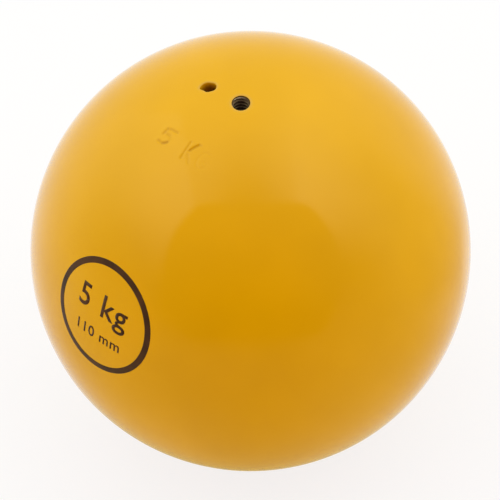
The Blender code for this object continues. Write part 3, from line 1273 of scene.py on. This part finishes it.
@dataclass
class PrintedMark:
    """A round mark, pad-printed on the enamel: a ring with the ball's weight and size inside it.

    The ink stands one film over the enamel, and its underside is rooted a little way into it. The
    figures' height is a share of the font's size, and their boldness a share of their height.
    """

    ball_radius: float
    place: Place = Place(math.radians(66.8), math.radians(-136.5), math.radians(3.0))
    ink: PadPrintInk = PadPrintInk()
    ring_radius: float = 13.99
    ring_width: float = 1.58
    film: float = 0.03
    rooted: float = 0.03
    ring_columns: int = 240
    over_points: int = 13
    under_points: int = 4
    edge_fullness: float = 0.25
    lines: tuple[PrintedLine, ...] = (PrintedLine("mark_weight", "5 kg", 6.2, 0.6),
                                      PrintedLine("mark_size", "110 mm", 3.0, -6.4))
    figure_share: float = 0.73
    letter_space: float = 1.1
    boldness: float = 0.012
    cell: float = 1.0
    weld: float = 0.001
    cut_slack: float = 1e-5

    def ring(self, material: bpy.types.Material) -> bpy.types.Object:
        """The ring: a flat band with its edges rounded down, carried once around the place.

        Over the top, as t goes from 0 to pi, the band's section runs across as -cos t of half its
        width and stands film x sin(t)^fullness proud. It runs back level under the enamel, and
        each point of it is carried around on a circle.

        Args:
            material: The ink.

        Returns:
            The piece.
        """
        over, under = (np.linspace(0, math.pi, count) for count in (self.over_points, self.under_points))
        across = np.concatenate([-np.cos(over), np.cos(under)]) * self.ring_width / 2
        lift = np.concatenate([self.film * np.sin(over) ** self.edge_fullness,
                               np.full(self.under_points, -self.rooted)])
        bearing = np.arange(self.ring_columns) * math.tau / self.ring_columns
        flat = (self.ring_radius + across)[:, None, None] * np.stack(
            [np.cos(bearing), np.sin(bearing)], -1)
        section = self.place.wrap(flat, self.ball_radius + lift[:, None], self.ball_radius)
        skin = Skin()
        numbers = skin.add(section)
        skin.join(np.concatenate([numbers, numbers[:1]]))
        return skin.make("mark_ring", [material])

    def outlines(self, line: PrintedLine) -> bpy.types.Mesh:
        """One line of figures, flat and cut into small cells that can bend.

        Args:
            line: What it says, and where.

        Returns:
            The mesh, in millimetres.
        """
        curve = bpy.data.curves.new(line.name, "FONT")
        curve.body = line.text
        curve.size = line.height / self.figure_share
        curve.align_x = "CENTER"
        curve.offset = self.boldness * line.height
        curve.space_character = self.letter_space
        flat = put_in_scene(line.name, curve)
        graph = bpy.context.evaluated_depsgraph_get()
        mesh = bpy.data.meshes.new_from_object(flat.evaluated_get(graph))
        bpy.data.objects.remove(flat, do_unlink=True)

        cut = bmesh.new()
        cut.from_mesh(mesh)
        bmesh.ops.remove_doubles(cut, verts=cut.verts, dist=self.weld)
        reach = int(self.ring_radius / self.cell)
        for axis in (Vector((1, 0, 0)), Vector((0, 1, 0))):
            for step in range(-reach, reach + 1):
                bmesh.ops.bisect_plane(cut, geom=cut.verts[:] + cut.edges[:] + cut.faces[:],
                                       plane_co=axis * step * self.cell, plane_no=axis,
                                       dist=self.cut_slack)
        cut.to_mesh(mesh)
        cut.free()
        return mesh

    def letters(self, line: PrintedLine, material: bpy.types.Material) -> bpy.types.Object:
        """One line of figures, laid on the sphere and given its film.

        Args:
            line: What it says, and where.
            material: The ink.

        Returns:
            The piece.
        """
        mesh = self.outlines(line)
        flat = points_of(mesh)[:, :2] + (0, line.foot)
        laid = self.place.wrap(flat, self.ball_radius + self.film, self.ball_radius) * MM
        mesh.vertices.foreach_set("co", laid.astype(np.float32).ravel())
        mesh.update()
        mesh.materials.clear()
        mesh.materials.append(material)
        made = put_in_scene(line.name, mesh)
        film = made.modifiers.new("Film", "SOLIDIFY")
        film.thickness = (self.film + self.rooted) * MM
        film.offset = -1
        return made

    def build(self) -> list[bpy.types.Object]:
        """Builds the ring and its lines, riding on the ball.

        Returns:
            The pieces.
        """
        material = self.ink.material()
        pieces = [self.ring(material)] + [self.letters(line, material) for line in self.lines]
        for piece in pieces:
            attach(piece, Body.BALL.value)
        return pieces


@dataclass
class GrubScrew:
    """The socket grub screw: thread, chamfered ends, hexagon socket and the recess in its nose.

    The socket's flat walls and the recess have a ring of points one margin from each edge, which
    keeps the edges crisp.
    """

    bottom: float
    top: float
    thread: Thread
    steel: BlackOxideSteel = BlackOxideSteel()
    columns: int = 96
    steps: int = 16
    end_chamfer: float = 0.55
    across_flats: float = 3 / 32 * INCH
    socket_depth: float = 2.6
    socket_chamfer: float = 0.18
    point_depth: float = 0.5
    point_share: float = 0.55
    point_shoulder: float = 0.3
    recess_radius: float = 0.9
    recess_depth: float = 1.2
    margin: float = 0.1

    def hexagon(self, azimuth: Array) -> Array:
        """Radius of the hexagon: half the flats over the cosine of the angle from a flat's middle.

        Args:
            azimuth: Azimuths, in radians.

        Returns:
            The radii.
        """
        sixth = math.pi / 3
        off = (azimuth + sixth / 2) % sixth - sixth / 2
        return self.across_flats / 2 / np.cos(off)

    def flank(self, azimuth: Array) -> Array:
        """The threaded side from the top down: the thread's ridge, cut to the chamfered ends.

        The radius is the ridge's, or major radius - chamfer + the distance to the nearer end
        where that is less.

        Args:
            azimuth: Azimuths of the columns, in radians.

        Returns:
            Points, one ring a row.
        """
        pitches = (self.top - self.bottom) / self.thread.pitch
        height = np.linspace(self.top, self.bottom, round(pitches * self.steps))[:, None]
        from_end = np.minimum(self.top - height, height - self.bottom)
        ends = self.thread.major_radius - self.end_chamfer + from_end
        return turned(np.minimum(self.thread.ridge_radius(azimuth, height), ends), azimuth, height)

    def build(self) -> list[bpy.types.Object]:
        """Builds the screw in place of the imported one, riding on the screw's body.

        Its rings about Z run out of the socket on the hexagon's radius, down the flank, and up
        into the nose's round recess.

        Returns:
            The screw.
        """
        azimuth = np.arange(self.columns) * math.tau / self.columns
        hexagon = self.hexagon(azimuth)
        floor, entry = self.top - self.socket_depth, self.top - self.socket_chamfer
        mouth = self.across_flats / 2 / math.cos(math.pi / 6) + self.socket_chamfer
        ceiling = self.bottom + self.recess_depth
        socket = ((self.point_share * hexagon, floor - self.point_shoulder), (hexagon, floor),
                  (hexagon, floor + self.margin), (hexagon, entry - self.margin), (hexagon, entry),
                  (mouth, self.top))
        nose = ((self.recess_radius, self.bottom), (self.recess_radius, ceiling - self.margin),
                (self.recess_radius, ceiling))
        head, foot = (np.stack([turned(radius, azimuth, height) for radius, height in profile])
                      for profile in (socket, nose))
        skin = Skin()
        rings = skin.add(np.concatenate([head, self.flank(azimuth), foot]))
        skin.close(rings[0], (0, 0, floor - self.point_depth), is_start=True)
        skin.join(rings)
        skin.close(rings[-1], (0, 0, ceiling))
        made = skin.make("screw_skin", [self.steel.material()])
        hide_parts("grub_screw")
        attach(made, Body.SCREW.value)
        return [made]


@dataclass
class Ballast:
    """The lead slugs and the pad that the screw presses on them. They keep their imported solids."""

    lead: DrawnLead = DrawnLead()
    nylon: TurnedNylon = TurnedNylon()

    def build(self) -> list[bpy.types.Object]:
        """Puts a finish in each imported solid's material slots.

        Returns:
            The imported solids.
        """
        lead, nylon = self.lead.material(), self.nylon.material()
        finishes = {"ballast_slug_1": lead, "ballast_slug_2": lead, "ballast_slug_3": lead,
                    "swivel_pad": nylon}
        for name, finish in finishes.items():
            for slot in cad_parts[name].material_slots:
                slot.material = finish
        return [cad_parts[name] for name in finishes]


@dataclass(frozen=True)
class Edge:
    """A straight soft edge of a panel: it ends at a distance along a bearing, in degrees."""

    bearing: float
    distance: float
    soft: float


@dataclass(frozen=True)
class TentPanel:
    """A soft-edged part of the tent, where the ball shows it to the camera.

    Places are in ball radii right and up of the middle of the ball's picture. The panel is what
    lies within all its edges, and within the disc where it has one: its middle, radius and
    softness.
    """

    level: float
    slope: Pair
    edges: tuple[Edge, ...]
    disc: tuple[Pair, float, float] | None = None


# A least-squares fit to the reflections in the photograph found these numbers, and they are rounded.
# The panels' count, kinds of edges and starting places were chosen.
TENT = (
    TentPanel(0.29, (0.12, 0.0), (Edge(91.5, -0.31, 0.12),)),
    TentPanel(-0.05, (0.38, 0.26), (Edge(188, -0.55, 0.20), Edge(55, 0.68, 0.10), Edge(1, 0.95, 0.02),
                                    Edge(300, 0.67, 0.17))),
    TentPanel(-0.14, (0.38, -0.26), (Edge(170, -0.08, 0.40), Edge(79, 0.17, 0.20), Edge(18, 0.62, 0.16),
                                     Edge(306, 0.95, 0.40))),
    TentPanel(-0.07, (-0.29, -0.22), (Edge(168.5, 0.86, 0.30), Edge(112, 0.49, 0.23),
                                      Edge(23.5, -0.26, 0.25), Edge(266.5, 0.73, 0.08))),
    TentPanel(1.20, (0.50, -0.56), (Edge(181, 0.57, 0.19), Edge(8.4, -0.216, 0.022),
                                    Edge(7, 0.04, 0.115), Edge(89, 0.60, 0.027), Edge(276, -0.18, 0.26))),
    TentPanel(1.20, (0.11, 0.20), (Edge(173, 0.007, 0.156), Edge(342.5, 0.105, 0.30),
                                   Edge(100, 0.418, 0.374), Edge(235.5, -0.278, 0.037))),
    TentPanel(-0.05, (1.23, 0.40), (Edge(153, 0.22, 0.164), Edge(7, 0.232, 0.033),
                                    Edge(45, 0.323, 0.40), Edge(254, 0.293, 0.237))),
    TentPanel(0.061, (0.04, 0.26), (Edge(90, 0.208, 0.02), Edge(270, 0.375, 0.045)),
              ((0.010, -0.105), 0.390, 0.02)),
)


@dataclass(frozen=True)
class Lobe:
    """A broad patch of light: the way to it (right, up, out of the camera), its power and colour.

    It adds colour x max(d . way, 0)^power in a direction d, and a colour below 0 takes light away.
    """

    way: Triple
    power: float
    shade: Triple


@dataclass
class Studio:
    """A light tent, a pale floor and the camera at the photograph's angle.

    Half the view's width is given at a distance of 1, and the shift off centre in the photograph's
    pixels. Reaches are distances from the middle of the ball's picture and heights in it, in ball
    radii, between which something comes in. The tent's level and slope and the rim's stops and
    foot come from the same fit as the panels. The soft light's level and lobes, the tent's tint
    and the warm floor were also solved from the photograph by least squares, then rounded.
    """

    ball_radius: float
    elevation: float = math.radians(50.93)
    roll: float = math.radians(3.755)
    distance_in_radii: float = 12.0
    half_view: float = 0.094885
    off_centre: Pair = (0.63, 0.89)
    sensor: float = 36.0
    level: Triple = (1.38, 1.50, 1.50)
    lobes: tuple[Lobe, ...] = (
        Lobe((0, 0, 1), 1.0, (-0.14, -0.28, -0.28)),
        Lobe((0, -0.5, 0.866), 3.0, (-1.13, -1.55, -1.48)),
        Lobe((1, 0, 0), 1.0, (0.11, 0.10, 0.10)),
    )
    tent_tint: Triple = (1.65, 1.80, 1.0)
    untinted_reach: Pair = (0.6, 0.95)
    warm_floor: Triple = (0.41, 0.29, 0.0)
    warm_heights: Pair = (-0.25, -0.75)
    warm_reach: Pair = (0.55, 0.95)
    tent_level: float = 0.81
    tent_slope: Pair = (-0.02, -0.50)
    panels: tuple[TentPanel, ...] = TENT
    rim_stops: tuple[Pair, ...] = (
        (0.80, 0.02), (0.86, 0.07), (0.91, 0.205), (0.95, 0.455), (0.975, 0.70), (1.0, 1.0))
    rim_foot: Pair = (-1.03, -0.425)
    floor_reach: float = 3.0
    floor_light: float = 0.2
    floor_shade: str = "#F4F2EE"

    @property
    def axes(self) -> tuple[Vector, Vector, Vector]:
        """The camera's axes, with its roll.

        Returns:
            Its right and up, and the way from the ball to the camera.
        """
        out = Vector((0, -math.cos(self.elevation), math.sin(self.elevation)))
        level_right = Vector((1, 0, 0))
        level_up = out.cross(level_right)
        right = level_right * math.cos(self.roll) - level_up * math.sin(self.roll)
        return right, out.cross(right), out

    def add_camera(self) -> None:
        """Stands the camera where the photograph was taken from, with its small shift."""
        right, up, out = self.axes
        data = bpy.data.cameras.new("camera")
        data.sensor_width = self.sensor
        data.lens = self.sensor / 2 / self.half_view
        data.shift_x = -self.off_centre[0] / PHOTO_PIXELS
        data.shift_y = self.off_centre[1] / PHOTO_PIXELS
        camera = put_in_scene("camera", data)
        turn = Matrix((right, up, out)).transposed().to_4x4()
        place = out * self.distance_in_radii * self.ball_radius * MM
        camera.matrix_world = Matrix.Translation(place) @ turn
        bpy.context.scene.camera = camera

    def along(self, tree: Tree, picture: Socket, slope: Pair, level: float) -> Socket:
        """The level plus the slope times the place in the picture."""
        rise = add_node(tree, "VectorMath", {0: picture, 1: (*slope, 0)}, operation="DOT_PRODUCT")
        return add_node(tree, "Math", {0: rise.outputs["Value"], 1: level}, operation="ADD").outputs[0]

    def panel_over(self, tree: Tree, picture: Socket, below: Socket, panel: TentPanel) -> Socket:
        """Lays one panel over the level below it.

        What it covers is the product, over its edges, of being within the edge's distance along
        the edge's bearing, and of being within the disc's radius of the disc's middle. Each is 1
        inside, 0 outside and smooth in between.

        Args:
            tree: The world's tree.
            picture: The place in the ball's picture.
            below: The level without the panel.
            panel: The panel.

        Returns:
            The level with it.
        """
        limits = []
        for edge in panel.edges:
            bearing = math.radians(edge.bearing)
            limits.append(("DOT_PRODUCT", (math.cos(bearing), math.sin(bearing), 0), edge.distance,
                           edge.soft))
        if panel.disc is not None:
            middle, radius, soft = panel.disc
            limits.append(("DISTANCE", (*middle, 0), radius, soft))
        cover = 1.0
        for operation, vector, end, soft in limits:
            value = add_node(tree, "VectorMath", {0: picture, 1: vector}, operation=operation)
            cover = add_node(tree, "MapRange", {
                "Value": value.outputs["Value"], "From Min": end + soft, "From Max": end - soft,
                "To Max": cover}, interpolation_type="SMOOTHSTEP").outputs["Result"]
        own = self.along(tree, picture, panel.slope, panel.level)
        return add_node(tree, "Mix", {0: cover, NUMBER_A: below, NUMBER_B: own}).outputs[NUMBER_OUT]

    def tent(self, tree: Tree, towards: Socket) -> Socket:
        """How bright the tent is in each direction, for what mirrors it.

        A direction d shows in the ball where its normal lies halfway to the camera, so the place
        in the ball's picture is the sum of d and the way to the camera, made one long, and
        measured along the camera's right and up. Its length there grows to 1 behind the ball,
        where the tent is white. In front the tent is tinted, and low at the sides the floor adds
        the colour that the ball throws on it.

        Args:
            tree: The world's tree.
            towards: The direction.

        Returns:
            The tent's colour, where 1 is white.
        """
        right, up, out = self.axes
        halfway = add_node(tree, "VectorMath", {0: towards, 1: out}, operation="ADD")
        normal = add_node(tree, "VectorMath", {0: halfway.outputs[0]}, operation="NORMALIZE")
        across, height = (
            add_node(tree, "VectorMath", {0: normal.outputs[0], 1: axis},
                     operation="DOT_PRODUCT").outputs["Value"] for axis in (right, up))
        picture = add_node(tree, "CombineXYZ", {0: across, 1: height}).outputs[0]
        distance = add_node(tree, "VectorMath", {0: picture}, operation="LENGTH").outputs["Value"]

        level = self.along(tree, picture, self.tent_slope, self.tent_level)
        for panel in self.panels:
            level = self.panel_over(tree, picture, level, panel)
        level = add_node(tree, "Math", {0: level, 1: 0.0}, operation="MAXIMUM").outputs[0]

        rim = add_node(tree, "ValToRGB", {"Fac": distance})
        stops = rim.color_ramp.elements
        for position, _ in self.rim_stops[1:-1]:
            stops.new(position)
        for stop, (position, value) in zip(stops, self.rim_stops):
            stop.position = position
            stop.color = (value, value, value, 1)
        above_foot, untinted, low, outer = (
            add_node(tree, "MapRange", {"Value": value, "From Min": reach[0], "From Max": reach[1]},
                     interpolation_type="SMOOTHSTEP").outputs["Result"]
            for value, reach in ((height, self.rim_foot), (distance, self.untinted_reach),
                                 (height, self.warm_heights), (distance, self.warm_reach)))
        white_share, warm_share = (
            add_node(tree, "Math", {0: first, 1: second}, operation="MULTIPLY").outputs[0]
            for first, second in ((rim.outputs["Color"], above_foot), (low, outer)))
        tint = add_node(tree, "Mix", {0: untinted, VECTOR_A: self.tent_tint, VECTOR_B: (1, 1, 1)},
                        data_type="VECTOR").outputs[VECTOR_OUT]
        tinted, warm = (
            add_node(tree, "VectorMath", {0: shade, "Scale": amount}, operation="SCALE").outputs[0]
            for shade, amount in ((tint, level), (self.warm_floor, warm_share)))
        both = add_node(tree, "VectorMath", {0: tinted, 1: warm}, operation="ADD")
        return add_node(tree, "Mix", {0: white_share, VECTOR_A: both.outputs[0], VECTOR_B: (1, 1, 1)},
                        data_type="VECTOR").outputs[VECTOR_OUT]

    def soft_light(self, tree: Tree, towards: Socket) -> Socket:
        """The light that falls on the object, by direction: the level plus the sum of the lobes.

        Args:
            tree: The world's tree.
            towards: The direction.

        Returns:
            The light's colour.
        """
        right, up, out = self.axes
        total: Socket | Triple = self.level
        for lobe in self.lobes:
            way = (right * lobe.way[0] + up * lobe.way[1] + out * lobe.way[2]).normalized()
            facing = add_node(tree, "VectorMath", {0: towards, 1: way}, operation="DOT_PRODUCT")
            ahead = add_node(tree, "Math", {0: facing.outputs["Value"], 1: 0.0}, operation="MAXIMUM")
            raised = add_node(tree, "Math", {0: ahead.outputs[0], 1: lobe.power}, operation="POWER")
            own = add_node(tree, "VectorMath", {0: lobe.shade, "Scale": raised.outputs[0]},
                           operation="SCALE")
            total = add_node(tree, "VectorMath", {0: own.outputs[0], 1: total},
                             operation="ADD").outputs[0]
        return total

    def light(self) -> None:
        """Makes the world: white for the camera, the tent for mirrors, and soft light for the rest."""
        world = bpy.data.worlds.new("light_tent")
        bpy.context.scene.world = world
        world.use_nodes = True
        world.cycles.sampling_method = "NONE"
        tree = world.node_tree
        tree.nodes.clear()
        towards = add_node(tree, "TexCoord").outputs["Generated"]
        ray = add_node(tree, "LightPath")
        soft, tent, white = (
            add_node(tree, "Background", {"Color": light}).outputs[0]
            for light in (self.soft_light(tree, towards), self.tent(tree, towards), (1, 1, 1, 1)))
        mirrored = add_node(tree, "Math", {0: ray.outputs["Is Glossy Ray"],
                                           1: ray.outputs["Is Transmission Ray"]}, operation="MAXIMUM")
        lit = add_node(tree, "MixShader", {0: mirrored.outputs[0], 1: soft, 2: tent})
        seen = add_node(tree, "MixShader", {0: ray.outputs["Is Camera Ray"], 1: lit.outputs[0],
                                            2: white})
        add_node(tree, "OutputWorld", {"Surface": seen.outputs[0]})

    def add_floor(self) -> None:
        """Lays the floor under the ball: white to the camera, with the ball's soft shadow in it."""
        data = bpy.data.meshes.new("floor")
        reach, height = self.floor_reach, -self.ball_radius * MM
        corners = [(x * reach, y * reach, height) for x, y in ((-1, -1), (1, -1), (1, 1), (-1, 1))]
        data.from_pydata(corners, [], [(0, 1, 2, 3)])
        floor = put_in_scene("floor", data)
        floor.visible_glossy = False
        material = bpy.data.materials.new("matt_paper")
        material.use_nodes = True
        tree = material.node_tree
        tree.nodes.clear()
        ray = add_node(tree, "LightPath")
        paper = add_node(tree, "BsdfDiffuse", {"Color": colour(self.floor_shade)})
        white = add_node(tree, "Emission", {"Color": (1, 1, 1, 1), "Strength": 1.0})
        share = add_node(tree, "Math", {0: ray.outputs["Is Camera Ray"], 1: 1 - self.floor_light},
                         operation="MULTIPLY")
        mix = add_node(tree, "MixShader", {0: share.outputs[0], 1: paper.outputs[0], 2: white.outputs[0]})
        add_node(tree, "OutputMaterial", {"Surface": mix.outputs[0]})
        data.materials.append(material)

    def build(self) -> None:
        """Sets up the camera, the light and the floor."""
        self.add_camera()
        self.light()
        self.add_floor()
        bpy.context.scene.view_settings.view_transform = "Standard"


def main() -> None:
    """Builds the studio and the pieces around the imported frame."""
    logging.basicConfig(level=logging.INFO, format="%(name)s: %(message)s")
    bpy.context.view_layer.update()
    ball_low, ball_high = (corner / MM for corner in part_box("ball_body"))
    screw_low, screw_high = (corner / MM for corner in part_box("grub_screw"))
    radius = round((ball_high.x - ball_low.x) / 2, 3)
    thread = Thread(base_height=radius - TappedBore.tapped_depth)

    Studio(radius).build()
    for assembly in (Ball(radius, thread), PrintedMark(radius),
                     GrubScrew(screw_low.z, screw_high.z, thread), Ballast()):
        for piece in assembly.build():
            finishes = ", ".join(slot.material.name for slot in piece.material_slots)
            log.info("%s: %d faces, %s", piece.name, len(piece.data.polygons), finishes)


if __name__ == "__main__":
    main()
